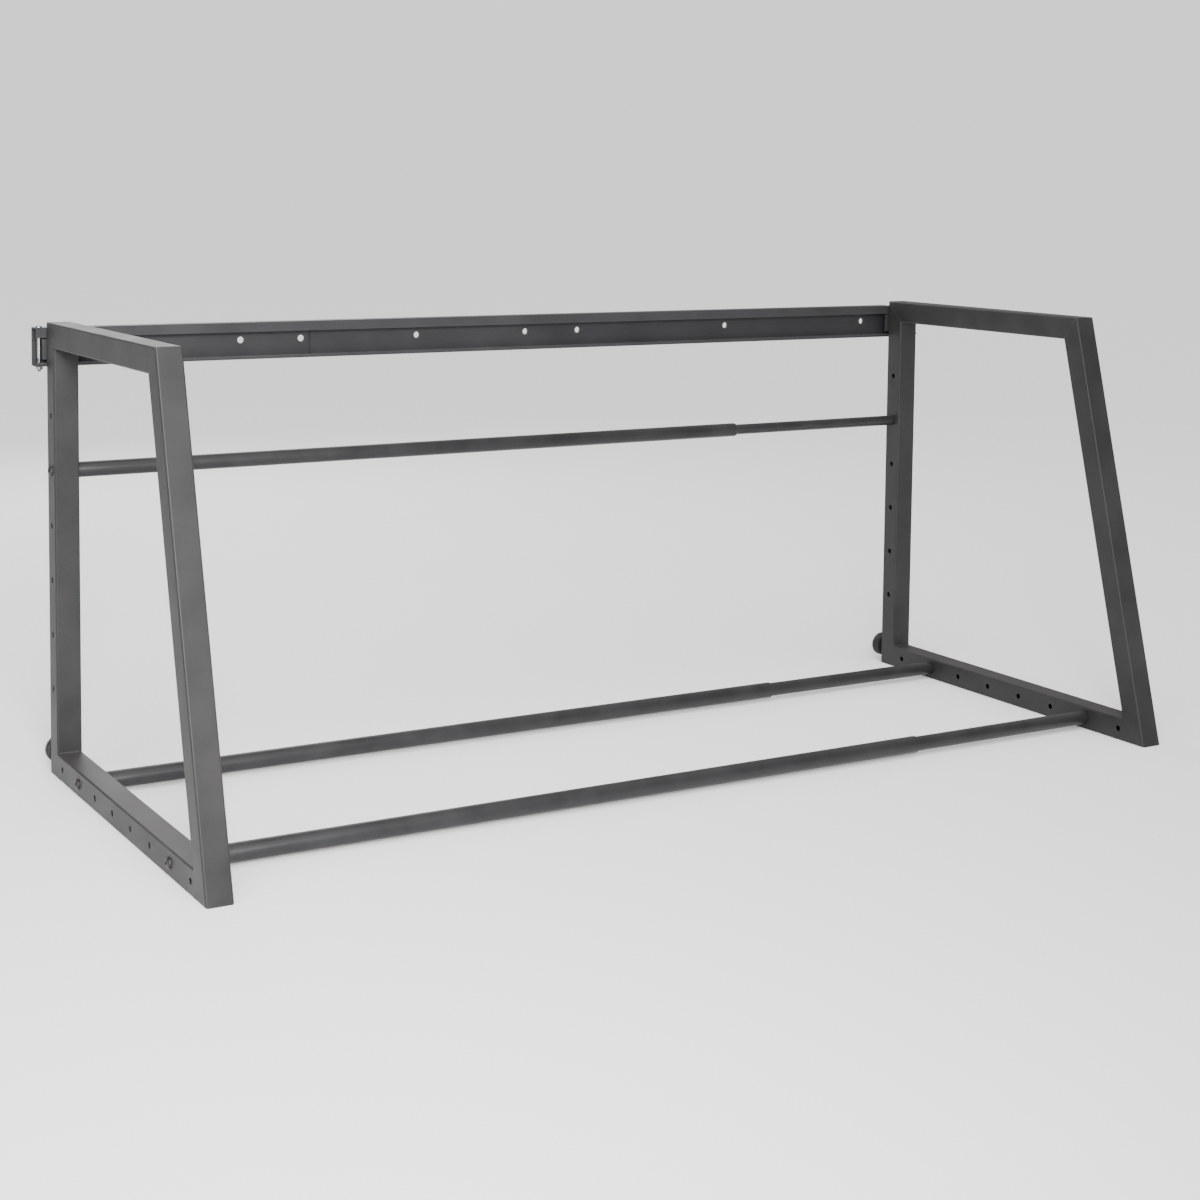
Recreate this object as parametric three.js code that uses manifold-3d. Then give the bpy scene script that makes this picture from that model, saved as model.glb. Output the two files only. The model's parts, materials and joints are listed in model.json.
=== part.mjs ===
// Extending tyre storage rack: two welded end frames of square steel tube, joined by three
// telescoping round tubes and by a telescoping wall rail. The left half stays put, and the right
// half slides along X. Millimetres, +X along the rack, +Y towards the wall, +Z up.

import * as THREE from 'three';
import { mergeVertices } from 'three/addons/utils/BufferGeometryUtils.js';
import Module from 'manifold-3d';

const manifold = await Module();
manifold.setup();

// Whole rack, measured over the end frames
const rackWidth = 1725;
const frameHeight = 730;
const topDepth = 535;
const bottomDepth = 730;
const clearance = 0.3; // between pieces that touch
const mitreGap = 0.2; // taken off each end of a frame's bar
const overcut = 4; // how far a cutting tool reaches past a face
const roundSides = 12; // facets of a small hole or bolt
const arcSteps = 3; // facets of a bend or a domed head
const weldDistance = 1e-4; // vertices closer than this are one

// Square tube of the end frames
const barSize = 40;
const barWall = 1.5;
const barCorner = 3;

// Rows of adjustment holes
const stationHole = 5; // radius
const uprightStations = { first: 142, pitch: 88, count: 6 };
const bottomStations = { first: 66, pitch: 86, count: 8 };
const upperTubeStation = 4;
const rearTubeStation = 1;
const frontTubeStation = 6;

// Telescoping round tubes, as radii
const upperTube = { outer: 12.5, inner: 9.5, outerWall: 1.5, innerWall: 1.5 };
const lowerTube = { outer: 14, inner: 12.2, outerWall: 1.5, innerWall: 1.5 };
const outerTubeLength = 1264;
const innerTubeLength = 1230;
const tubeSides = 24;
const plugLength = 35;
const plugGap = 0.4;
const bush = { length: 24, nose: 4, noseRadius: 10.4, bore: 9.8 };

// Dome-head bolts that hold the tube ends
const bolt = { shank: 4, head: 8.5, headHeight: 4.5, reach: 65, bore: 4.4, socket: 2.9, socketDepth: 2.5 };

// Wall rail: two lipped channels, one inside the other, open to the front
const rail = { bottom: 659, height: 62, depth: 28, sheet: 2, topLip: 16, bottomLip: 6, bend: 3, setBack: 0.5 };
const railFit = 0.6;
const outerRailStart = -16;
const outerRailEnd = rackWidth - 35;
const innerRailEnd = rackWidth + 35;
const innerRailLength = 1300;
const wallHole = { radius: 5.5, first: 335.4, pitch: 108.4 };
const wallHoleSteps = [0, 1, 3, 5, 6, 9, 12];

// Bracket between an upright and its rail
const bracket = { plateWidth: 52, plateDepth: 5.4, stemWidth: 16, bottom: 670, height: 33 };
const screw = { spread: 9, shank: 2.9, head: 6, coneDepth: 3, recess: 1.5, length: 18, bore: 3.2 };

// Long bolt across the outer rail's left end, which stops the inner rail
const stopBolt = { x: -9, y: 10, shank: 3, head: 5.5, headHeight: 3.5, below: 8, nut: 5, nutHeight: 4.5 };

// Wall feet behind the uprights
const foot = { height: 32, radius: 22, thickness: 18, ribs: 36, ribDepth: 1.1, stud: 4.8, bore: 5.1 };
const footNut = { body: 6.3, flange: 8.5, flangeHeight: 1.2, length: 13 };
const footStud = { inside: 26, inKnob: 12 };

const wallPlane = rail.setBack + rail.depth;
const middle = barSize / 2;

const coat = { color: '#3b3c3d', roughness: 0.5, metalness: 0.15 };
const railCoat = { color: '#3f4041', roughness: 0.5, metalness: 0.15 };
const blackSteel = { color: '#2a2b2c', roughness: 0.4, metalness: 0.5 };
const zinc = { color: '#c9ccd0', roughness: 0.3, metalness: 1 };
const nylon = { color: '#1d1d1e', roughness: 0.6, metalness: 0 };

// Turns a section drawn in local XY, or a lathe turned about local Y, towards one rack axis
const axisX = new THREE.Vector3(1, 0, 0);
const axisY = new THREE.Vector3(0, 1, 0);
const axisZ = new THREE.Vector3(0, 0, 1);
const sectionAlongX = new THREE.Matrix4().makeBasis(axisY, axisZ, axisX);
const turnedAboutX = new THREE.Matrix4().makeBasis(axisZ, axisX, axisY);
const turnedAboutZ = new THREE.Matrix4().makeBasis(axisY, axisZ, axisX);

function solidOf(geometry) {
  const bare = geometry.clone();
  bare.deleteAttribute('normal');
  bare.deleteAttribute('uv');
  const merged = mergeVertices(bare, weldDistance);
  return new manifold.Manifold(new manifold.Mesh({
    numProp: 3,
    vertProperties: new Float32Array(merged.attributes.position.array),
    triVerts: new Uint32Array(merged.index.array),
  }));
}

function geometryOf(solid) {
  const mesh = solid.getMesh();
  const geometry = new THREE.BufferGeometry();
  geometry.setAttribute('position', new THREE.BufferAttribute(mesh.vertProperties, 3));
  geometry.setIndex(new THREE.BufferAttribute(mesh.triVerts, 1));
  geometry.computeVertexNormals();
  return geometry;
}

function piece(name, shape, finish) {
  const geometry = shape.isBufferGeometry ? shape : geometryOf(shape);
  const mesh = new THREE.Mesh(geometry, new THREE.MeshStandardMaterial(finish));
  mesh.name = name;
  return mesh;
}

function extrude(shape, depth, curveSegments = 3) {
  return new THREE.ExtrudeGeometry(shape, { depth, bevelEnabled: false, curveSegments });
}

// A cylinder for drilling, on a given axis, centred where it is told
function drill(radius, length, axis, x, y, z) {
  const geometry = new THREE.CylinderGeometry(radius, radius, length, roundSides);
  geometry.applyMatrix4(new THREE.Matrix4().makeRotationFromQuaternion(
    new THREE.Quaternion().setFromUnitVectors(axisY, axis)));
  geometry.translate(x, y, z);
  return solidOf(geometry);
}

function drillAll(solid, holes) {
  return holes.reduce((left, hole) => left.subtract(hole), solid);
}

// Profile points are [radius, height], from the low end up, and close on themselves or the axis
function turned(profile, matrix, x, y, z, sides = roundSides) {
  const points = profile.map(([radius, height]) => new THREE.Vector2(radius, height));
  const geometry = new THREE.LatheGeometry(points, sides);
  geometry.applyMatrix4(matrix);
  geometry.translate(x, y, z);
  return geometry;
}

function ring(outer, inner, length) {
  return [[inner, 0], [outer, 0], [outer, length], [inner, length], [inner, 0]];
}

function squareOutline(target, size, corner) {
  const half = size / 2;
  const inset = half - corner;
  target.moveTo(inset, -half);
  target.absarc(inset, -inset, corner, -Math.PI / 2, 0);
  target.absarc(inset, inset, corner, 0, Math.PI / 2);
  target.absarc(-inset, inset, corner, Math.PI / 2, Math.PI);
  target.absarc(-inset, -inset, corner, Math.PI, 1.5 * Math.PI);
  return target;
}

function tubeSection() {
  const section = squareOutline(new THREE.Shape(), barSize, barCorner);
  section.holes.push(squareOutline(new THREE.Path(), barSize - 2 * barWall, barCorner - barWall));
  return section;
}

// The end frame's corners as [y, z], round the frame from the top of the upright
const outerCorners = [[0, frameHeight], [-topDepth, frameHeight], [-bottomDepth, 0], [0, 0]]
  .map(([y, z]) => new THREE.Vector2(y, z));

function meet(pointA, directionA, pointB, directionB) {
  const along = pointB.clone().sub(pointA).cross(directionB) / directionA.cross(directionB);
  return pointA.clone().addScaledVector(directionA, along);
}

// Each inner corner is where the two bars' inner faces meet, one bar size in from the outside
function innerCornersOf(corners) {
  const sides = corners.map((corner, i) => {
    const direction = corners[(i + 1) % corners.length].clone().sub(corner).normalize();
    const inward = new THREE.Vector2(-direction.y, direction.x).multiplyScalar(barSize);
    return { direction, start: corner.clone().add(inward) };
  });
  return sides.map((side, i) => {
    const before = sides[(i + sides.length - 1) % sides.length];
    return meet(before.start, before.direction, side.start, side.direction);
  });
}

const innerCorners = innerCornersOf(outerCorners);

// One mitred bar of the frame: a square tube cut to the four-sided outline between two corners
function frameBar(index) {
  const next = (index + 1) % outerCorners.length;
  const from = outerCorners[index];
  const to = outerCorners[next];
  const direction = to.clone().sub(from).normalize();
  const inward = new THREE.Vector2(-direction.y, direction.x);
  const length = from.distanceTo(to);
  const tube = extrude(tubeSection(), length);
  const across = new THREE.Vector3(0, inward.x, inward.y);
  const along = new THREE.Vector3(0, direction.x, direction.y);
  tube.applyMatrix4(new THREE.Matrix4().makeBasis(across.clone().cross(along), across, along));
  const centre = from.clone().addScaledVector(inward, middle);
  tube.translate(middle, centre.x, centre.y);

  const inset = direction.clone().multiplyScalar(mitreGap);
  const outline = new THREE.Shape([
    from.clone().add(inset),
    to.clone().sub(inset),
    innerCorners[next].clone().sub(inset),
    innerCorners[index].clone().add(inset),
  ]);
  const cutter = extrude(outline, barSize + 2 * overcut);
  cutter.applyMatrix4(sectionAlongX);
  cutter.translate(-overcut, 0, 0);
  return solidOf(tube).intersect(solidOf(cutter));
}

const uprightHeights = Array.from({ length: uprightStations.count },
  (_, i) => uprightStations.first + i * uprightStations.pitch);
const bottomPlaces = Array.from({ length: bottomStations.count },
  (_, i) => -(bottomStations.first + i * bottomStations.pitch));

function endFrame(side) {
  const topBar = frameBar(0);
  const leg = frameBar(1);
  const footNutHole = drill(footNut.body + clearance, 2 * overcut, axisY, middle, 0, foot.height);
  const bottomBar = drillAll(frameBar(2), bottomPlaces.map(
    (y) => drill(stationHole, barSize + overcut, axisX, middle, y, middle)));
  const upright = drillAll(frameBar(3), uprightHeights.map(
    (z) => drill(stationHole, barSize + overcut, axisX, middle, -middle, z))).subtract(footNutHole);
  return [
    piece(`${side}_upright`, upright, coat),
    piece(`${side}_top_bar`, topBar, coat),
    piece(`${side}_front_leg`, leg, coat),
    piece(`${side}_bottom_bar`, bottomBar, coat),
  ];
}

// A bent sheet section through the given corners: the outside, then back along the inside
function bentSection(corners, sheet, bend) {
  const side = (offset, radius) => {
    const points = [];
    corners.forEach((corner, i) => {
      const before = corners[i - 1];
      const after = corners[i + 1];
      const inward = (a, b) => {
        const direction = b.clone().sub(a).normalize();
        return new THREE.Vector2(direction.y, -direction.x).multiplyScalar(offset);
      };
      if (!before || !after) {
        const normal = before ? inward(before, corner) : inward(corner, after);
        points.push(corner.clone().add(normal));
        return;
      }
      const shifted = corner.clone().add(inward(before, corner)).add(inward(corner, after));
      const back = before.clone().sub(corner).normalize();
      const ahead = after.clone().sub(corner).normalize();
      const centre = shifted.clone().addScaledVector(back, radius).addScaledVector(ahead, radius);
      for (let step = 0; step <= arcSteps; step += 1) {
        const angle = (step / arcSteps) * Math.PI / 2;
        points.push(centre.clone()
          .addScaledVector(ahead, -radius * Math.cos(angle))
          .addScaledVector(back, -radius * Math.sin(angle)));
      }
    });
    return points;
  };
  return new THREE.Shape([...side(0, bend), ...side(sheet, bend - sheet).reverse()]);
}

// inset is how far the channel stands inside the outer rail's own outline
function railChannel(start, end, inset) {
  const low = rail.bottom + inset;
  const high = rail.bottom + rail.height - inset;
  const front = rail.setBack + inset;
  const back = wallPlane - inset;
  const section = bentSection([
    new THREE.Vector2(front, rail.bottom + rail.height - rail.topLip),
    new THREE.Vector2(front, high),
    new THREE.Vector2(back, high),
    new THREE.Vector2(back, low),
    new THREE.Vector2(front, low),
    new THREE.Vector2(front, rail.bottom + rail.bottomLip),
  ], rail.sheet, rail.bend);
  const channel = extrude(section, end - start);
  channel.applyMatrix4(sectionAlongX);
  channel.translate(start, 0, 0);
  const holes = wallHoleSteps
    .map((step) => wallHole.first + step * wallHole.pitch)
    .filter((x) => x > start && x < end)
    .map((x) => drill(wallHole.radius, 2 * overcut, axisY, x, back, rail.bottom + rail.height / 2));
  return drillAll(solidOf(channel), holes);
}

const innerInset = rail.sheet + railFit;
const outerWebFace = wallPlane - rail.sheet;
const innerWebFace = outerWebFace - railFit - rail.sheet;
const screwHeights = [-1, 1].map((sign) => bracket.bottom + bracket.height / 2 + sign * screw.spread);

// A rail with the countersunk holes for its bracket's screws
function railWithScrewHoles(start, end, inset, upright) {
  const back = wallPlane - inset;
  return drillAll(railChannel(start, end, inset), screwHeights.map(
    (z) => drill(screw.head + clearance, 2 * overcut, axisY, upright + middle, back, z)));
}

function outerRail() {
  const hole = drill(stopBolt.shank + clearance, rail.height + 2 * overcut, axisZ,
    stopBolt.x, stopBolt.y, rail.bottom + rail.height / 2);
  return railWithScrewHoles(outerRailStart, outerRailEnd, 0, 0).subtract(hole);
}

// Seen from above the bracket is a T: a plate behind the upright and a stem to the rail's web
function hangerBracket(upright, webFace) {
  const left = upright + middle - bracket.plateWidth / 2;
  const right = upright + middle + bracket.plateWidth / 2;
  const stemLeft = upright + middle - bracket.stemWidth / 2;
  const stemRight = upright + middle + bracket.stemWidth / 2;
  const plateBack = clearance + bracket.plateDepth;
  const stemBack = webFace - clearance;
  const outline = new THREE.Shape([
    [left, clearance], [right, clearance], [right, plateBack], [stemRight, plateBack],
    [stemRight, stemBack], [stemLeft, stemBack], [stemLeft, plateBack], [left, plateBack],
  ].map(([x, y]) => new THREE.Vector2(x, y)));
  const block = extrude(outline, bracket.height);
  block.translate(0, 0, bracket.bottom);
  return drillAll(solidOf(block), screwHeights.flatMap((z) => [
    drill(screw.bore, 2 * screw.length, axisY, upright + middle, stemBack, z),
    drill(screw.head, 2 * screw.recess, axisY, upright + middle, stemBack, z),
  ]));
}

// Flush in the web, with its point towards the upright
function hangerScrew(upright, webFace, z) {
  const flush = webFace + rail.sheet - clearance;
  const cone = flush - screw.coneDepth;
  return turned([
    [0, flush - screw.length], [screw.shank, flush - screw.length], [screw.shank, cone],
    [screw.head, flush], [0, flush],
  ], new THREE.Matrix4(), upright + middle, 0, z);
}

// Profile of a bolt whose domed head sits at seat, above a shank that ends at tip
function domedBolt(tip, seat, shank, head, headHeight) {
  const profile = [[0, tip], [shank, tip], [shank, seat]];
  for (let step = 0; step < arcSteps; step += 1) {
    const angle = (step / arcSteps) * Math.PI / 2;
    profile.push([head * Math.cos(angle), seat + headHeight * Math.sin(angle)]);
  }
  profile.push([0, seat + headHeight]);
  return profile;
}

function tubeBolt(direction, face, y, z) {
  const profile = domedBolt(-bolt.reach, clearance, bolt.shank, bolt.head, bolt.headHeight);
  const whole = solidOf(turned(profile, new THREE.Matrix4(), 0, 0, 0));
  const socket = new THREE.CylinderGeometry(bolt.socket, bolt.socket, 2 * bolt.socketDepth, 6);
  socket.translate(0, clearance + bolt.headHeight, 0);
  const geometry = geometryOf(whole.subtract(solidOf(socket)));
  geometry.rotateZ(-direction * Math.PI / 2);
  geometry.translate(face, y, z);
  return geometry;
}

// Plugs, tubes and bolts of one crossbar; the outer tube hangs on the left, the inner on the right
function crossbar(name, sizes, y, z) {
  const outerBore = sizes.outer - sizes.outerWall;
  const innerBore = sizes.inner - sizes.innerWall;
  const leftEnd = barSize + clearance;
  const rightEnd = rackWidth - barSize - clearance;
  const along = (profile, x, sides) => turned(profile, turnedAboutX, x, y, z, sides);
  const plug = (bore) => ring(bore - plugGap, bolt.bore, plugLength);
  return {
    left: [
      piece(`${name}_outer_tube`, along(ring(sizes.outer, outerBore, outerTubeLength), leftEnd, tubeSides), coat),
      piece(`${name}_left_plug`, along(plug(outerBore), leftEnd), blackSteel),
      piece(`${name}_left_bolt`, tubeBolt(-1, 0, y, z), blackSteel),
    ],
    right: [
      piece(`${name}_inner_tube`,
        along(ring(sizes.inner, innerBore, innerTubeLength), rightEnd - innerTubeLength, tubeSides), coat),
      piece(`${name}_right_plug`, along(plug(innerBore), rightEnd - plugLength), blackSteel),
      piece(`${name}_right_bolt`, tubeBolt(1, rackWidth, y, z), blackSteel),
    ],
  };
}

// Guide bush in the mouth of the upper outer tube, with a tapered nose outside it
function guideBush(y, z) {
  const bore = upperTube.outer - upperTube.outerWall;
  const mouth = barSize + clearance + outerTubeLength;
  return turned([
    [bush.bore, -bush.length], [bore - plugGap, -bush.length], [bore - plugGap, clearance],
    [upperTube.outer, clearance], [bush.noseRadius, bush.nose], [bush.bore, bush.nose],
    [bush.bore, -bush.length],
  ], turnedAboutX, mouth, y, z, tubeSides);
}

function stopBoltPieces() {
  const top = rail.bottom + rail.height + clearance;
  const under = rail.bottom - clearance;
  const { x, y, shank, head, headHeight, below, nut, nutHeight } = stopBolt;
  const profile = domedBolt(under - below, top, shank, head, headHeight);
  const nutGeometry = extrude(hexWithBore(nut, shank + clearance), nutHeight, roundSides / 2);
  nutGeometry.translate(x, y, under - nutHeight);
  return [
    piece('rail_stop_bolt', turned(profile, turnedAboutZ, x, y, 0), zinc),
    piece('rail_stop_nut', nutGeometry, zinc),
  ];
}

function hexWithBore(halfAcrossFlats, bore) {
  const radius = halfAcrossFlats / Math.cos(Math.PI / 6);
  const hex = new THREE.Shape(Array.from({ length: 6 }, (_, i) => new THREE.Vector2(
    radius * Math.cos(i * Math.PI / 3), radius * Math.sin(i * Math.PI / 3))));
  hex.holes.push(new THREE.Path().absarc(0, 0, bore, 0, 2 * Math.PI, true));
  return hex;
}

// Knurled knob on a threaded stud, which screws into a nut in the upright's back wall
function footKnob(x) {
  const points = Array.from({ length: 2 * foot.ribs }, (_, i) => {
    const angle = (i / (2 * foot.ribs)) * 2 * Math.PI;
    const radius = foot.radius - (i % 2) * foot.ribDepth;
    return new THREE.Vector2(radius * Math.cos(angle), radius * Math.sin(angle));
  });
  const disc = extrude(new THREE.Shape(points), foot.thickness);
  disc.applyMatrix4(new THREE.Matrix4().makeRotationX(Math.PI / 2));
  disc.translate(x, wallPlane, foot.height);
  const front = wallPlane - foot.thickness;
  const bore = drill(foot.bore, 2 * (footStud.inKnob + clearance), axisY, x, front, foot.height);
  return solidOf(disc).subtract(bore);
}

function wallFoot(side, upright) {
  const x = upright + middle;
  const studEnd = wallPlane - foot.thickness + footStud.inKnob;
  const stud = turned([
    [0, -footStud.inside], [foot.stud, -footStud.inside], [foot.stud, studEnd], [0, studEnd],
  ], new THREE.Matrix4(), x, 0, foot.height);
  const nut = turned([
    [foot.bore, clearance - footNut.length], [footNut.body, clearance - footNut.length],
    [footNut.body, clearance], [footNut.flange, clearance],
    [footNut.flange, clearance + footNut.flangeHeight], [foot.bore, clearance + footNut.flangeHeight],
    [foot.bore, clearance - footNut.length],
  ], new THREE.Matrix4(), x, 0, foot.height);
  return [
    piece(`${side}_foot_nut`, nut, zinc),
    piece(`${side}_foot_stud`, stud, zinc),
    piece(`${side}_foot_knob`, footKnob(x), nylon),
  ];
}

const rightUpright = rackWidth - barSize;
const crossbars = [
  crossbar('upper_rear', upperTube, -middle, uprightHeights[upperTubeStation]),
  crossbar('lower_rear', lowerTube, bottomPlaces[rearTubeStation], middle),
  crossbar('lower_front', lowerTube, bottomPlaces[frontTubeStation], middle),
];

const rightFrame = new THREE.Group();
rightFrame.add(...endFrame('right'));
rightFrame.position.x = rightUpright;

const leftHalf = new THREE.Group();
leftHalf.add(
  ...endFrame('left'),
  piece('outer_rail', outerRail(), railCoat),
  piece('left_rail_bracket', hangerBracket(0, outerWebFace), coat),
  ...screwHeights.map((z, i) => piece(`left_bracket_screw_${i + 1}`, hangerScrew(0, outerWebFace, z), zinc)),
  ...stopBoltPieces(),
  ...crossbars.flatMap((bar) => bar.left),
  piece('upper_guide_bush', guideBush(-middle, uprightHeights[upperTubeStation]), nylon),
  ...wallFoot('left', 0),
);

const rightHalf = new THREE.Group();
rightHalf.add(
  rightFrame,
  piece('inner_rail', railWithScrewHoles(
    innerRailEnd - innerRailLength, innerRailEnd, innerInset, rightUpright), railCoat),
  piece('right_rail_bracket', hangerBracket(rightUpright, innerWebFace), coat),
  ...screwHeights.map((z, i) => piece(
    `right_bracket_screw_${i + 1}`, hangerScrew(rightUpright, innerWebFace, z), zinc)),
  ...crossbars.flatMap((bar) => bar.right),
  ...wallFoot('right', rightUpright),
);

// The origin stands on the floor under the middle of the rack's box
const rack = new THREE.Group();
rack.add(leftHalf, rightHalf);
rack.position.set(-(outerRailStart + innerRailEnd) / 2, (bottomDepth - wallPlane) / 2, 0);

export default rack;
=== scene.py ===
# Extending tyre storage rack: the shown pieces and their finishes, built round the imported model.
# Metres throughout, in the model's own frame: +X along the rack, +Y to the wall, +Z up.

import json
import math
import bmesh
import bpy
from mathutils import Matrix, Vector


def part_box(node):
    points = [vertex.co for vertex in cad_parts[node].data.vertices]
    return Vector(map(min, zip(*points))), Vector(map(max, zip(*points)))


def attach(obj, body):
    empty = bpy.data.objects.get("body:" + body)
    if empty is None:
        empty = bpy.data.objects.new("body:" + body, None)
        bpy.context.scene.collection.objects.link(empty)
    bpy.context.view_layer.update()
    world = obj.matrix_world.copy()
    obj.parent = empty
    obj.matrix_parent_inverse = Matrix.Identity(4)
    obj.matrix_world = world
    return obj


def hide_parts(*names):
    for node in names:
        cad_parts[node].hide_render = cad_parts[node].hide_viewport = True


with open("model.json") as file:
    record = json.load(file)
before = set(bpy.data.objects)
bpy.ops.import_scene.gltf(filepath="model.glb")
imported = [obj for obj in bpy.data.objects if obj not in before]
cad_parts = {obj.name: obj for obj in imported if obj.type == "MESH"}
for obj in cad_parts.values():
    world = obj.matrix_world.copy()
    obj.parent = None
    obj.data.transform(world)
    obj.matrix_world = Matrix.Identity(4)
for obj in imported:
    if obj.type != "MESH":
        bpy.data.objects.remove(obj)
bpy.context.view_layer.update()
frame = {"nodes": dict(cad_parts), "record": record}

print("frame loaded:", len(frame["nodes"]), "nodes")

mm = 0.001
quarterTurn = math.pi / 2
axisX = Vector((1, 0, 0))
axisY = Vector((0, 1, 0))
axisZ = Vector((0, 0, 1))
crossbarNames = ["upper_rear", "lower_rear", "lower_front"]
sides = ["left", "right"]
materials = {}


# Small tools, used by every piece

def focus(piece):
    bpy.ops.object.select_all(action="DESELECT")
    piece.select_set(True)
    bpy.context.view_layer.objects.active = piece


def named(name):
    # takes the primitive that was just added, and puts its place into its mesh
    piece = bpy.context.object
    piece.name = name
    piece.data.name = name
    focus(piece)
    bpy.ops.object.transform_apply(location=True, rotation=True, scale=True)
    return piece


def pick(piece, kind, test):
    # edit mode, with only the vertices, edges or faces that pass the test selected
    focus(piece)
    bpy.ops.object.mode_set(mode="EDIT")
    bpy.ops.mesh.select_mode(type=kind)
    bpy.ops.mesh.select_all(action="DESELECT")
    mesh = bmesh.from_edit_mesh(piece.data)
    for item in {"VERT": mesh.verts, "EDGE": mesh.edges, "FACE": mesh.faces}[kind]:
        if test(item):
            item.select_set(True)
    bmesh.update_edit_mesh(piece.data)


def objectMode():
    bpy.ops.object.mode_set(mode="OBJECT")


def modify(piece, kind, **settings):
    focus(piece)
    modifier = piece.modifiers.new(kind, kind)
    for key, value in settings.items():
        setattr(modifier, key, value)
    bpy.ops.object.modifier_apply(modifier=modifier.name)


def carve(piece, cutter, operation="DIFFERENCE"):
    modify(piece, "BOOLEAN", object=cutter, operation=operation, solver="EXACT")
    bpy.data.objects.remove(cutter)


def drills(holes):
    # one cutter for holes given as (centre, axis, radius, length)
    bpy.ops.object.select_all(action="DESELECT")
    cutter = None
    for centre, axis, radius, length in holes:
        turn = axisZ.rotation_difference(axis).to_euler()
        bpy.ops.mesh.primitive_cylinder_add(vertices=32, radius=radius, depth=length,
                                            location=centre, rotation=turn)
        if cutter is None:
            cutter = named("cutter")
            bpy.ops.object.mode_set(mode="EDIT")
    objectMode()
    return cutter


def breakHoleEdges(piece, holes, surface, width):
    # rounds the mouths of drilled holes; surface says which points lie on the piece's skin
    def atMouth(edge):
        for centre, axis, radius, length in holes:
            spokes = [(v.co - centre) - axis * (v.co - centre).dot(axis) for v in edge.verts]
            if all(abs(spoke.length - radius) < 0.02 * mm for spoke in spokes):
                return all(surface(v.co) for v in edge.verts)
        return False
    pick(piece, "EDGE", atMouth)
    bpy.ops.mesh.bevel(offset=width, segments=2, affect="EDGES")
    objectMode()


def turned(name, profile, centre, axis, segments=48):
    # a circle at the profile's first (radius, height), extruded and scaled to each later one
    radius, height = profile[0]
    radius = max(radius, 0.001 * mm)
    bpy.ops.object.select_all(action="DESELECT")
    bpy.ops.mesh.primitive_circle_add(vertices=segments, radius=radius, location=(0, 0, height))
    piece = named(name)
    bpy.ops.object.mode_set(mode="EDIT")
    bpy.ops.mesh.select_mode(type="EDGE")
    bpy.ops.mesh.select_all(action="SELECT")
    for nextRadius, nextHeight in profile[1:]:
        nextRadius = max(nextRadius, 0.001 * mm)
        step = (0, 0, nextHeight - height)
        bpy.ops.mesh.extrude_edges_move(TRANSFORM_OT_translate={"value": step})
        grow = nextRadius / radius
        bpy.ops.transform.resize(value=(grow, grow, 1), center_override=(0, 0, nextHeight))
        radius, height = nextRadius, nextHeight
    bpy.ops.mesh.select_all(action="SELECT")
    bpy.ops.mesh.remove_doubles(threshold=0.003 * mm)
    bpy.ops.mesh.normals_make_consistent(inside=False)
    objectMode()
    piece.rotation_euler = axisZ.rotation_difference(axis).to_euler()
    piece.location = centre
    focus(piece)
    bpy.ops.object.transform_apply(location=True, rotation=True, scale=True)
    return piece


def joined(name, pieces):
    bpy.ops.object.select_all(action="DESELECT")
    for piece in pieces:
        piece.select_set(True)
    bpy.context.view_layer.objects.active = pieces[0]
    bpy.ops.object.join()
    pieces[0].name = name
    pieces[0].data.name = name
    return pieces[0]


def boxMiddle(node):
    low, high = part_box(node)
    return (low + high) / 2


def copied(piece, name, fromNode, toNode, turn=0):
    # a copy with its own mesh, moved from one node's box to another's, and turned about upright
    twin = piece.copy()
    twin.data = piece.data.copy()
    there = Matrix.Translation(boxMiddle(toNode)) @ Matrix.Rotation(turn, 4, "Z")
    twin.data.transform(there @ Matrix.Translation(-boxMiddle(fromNode)))
    twin.name = name
    twin.data.name = name
    bpy.context.scene.collection.objects.link(twin)
    return twin


def shaded(piece, smoothAngle=32, flatFaces=False):
    # smooth with crisp creases; flatFaces keeps a wide flat flat beside its round edges
    focus(piece)
    bpy.ops.object.shade_smooth_by_angle(angle=math.radians(smoothAngle))
    if flatFaces:
        modify(piece, "WEIGHTED_NORMAL", keep_sharp=True)


def shown(piece, body, slotName, nodes):
    # the last step of every new piece: its finish, what it rides on and what it stands for
    piece.data.materials.clear()
    piece.data.materials.append(materials[slotName])
    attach(piece, body)
    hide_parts(*nodes)


# Finishes

def linear(code):
    # sRGB hex to the linear values that a shader takes
    parts = [int(code[i:i + 2], 16) / 255 for i in (1, 3, 5)]
    return [p / 12.92 if p <= 0.04045 else ((p + 0.055) / 1.055) ** 2.4 for p in parts] + [1]


def addNode(material, kind, links=None, **settings):
    # adds a shader node; links and settings whose names are sockets go to the sockets
    tree = material.node_tree
    node = tree.nodes.new(kind)
    for key, value in settings.items():
        if hasattr(node, key):
            setattr(node, key, value)
        else:
            node.inputs[key.replace("_", " ")].default_value = value
    for key, output in (links or {}).items():
        socket = node.inputs[key] if isinstance(key, int) else node.inputs[key.replace("_", " ")]
        tree.links.new(output, socket)
    return node


def newMaterial(name):
    material = bpy.data.materials.new(name)
    material.use_nodes = True
    material.node_tree.nodes.clear()
    return material


def perMetre(size):
    # a texture's scale from the real size of its grain
    return 1 / size


def edgeMask(material, radius):
    # bright where the surface turns sharply within the radius
    rounded = addNode(material, "ShaderNodeBevel", samples=6, Radius=radius)
    plain = addNode(material, "ShaderNodeNewGeometry")
    same = addNode(material, "ShaderNodeVectorMath", {0: rounded.outputs[0], 1: plain.outputs["Normal"]},
                   operation="DOT_PRODUCT")
    return addNode(material, "ShaderNodeMapRange", {"Value": same.outputs["Value"]},
                   From_Min=1.0, From_Max=0.86, To_Min=0.0, To_Max=1.0)


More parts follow.
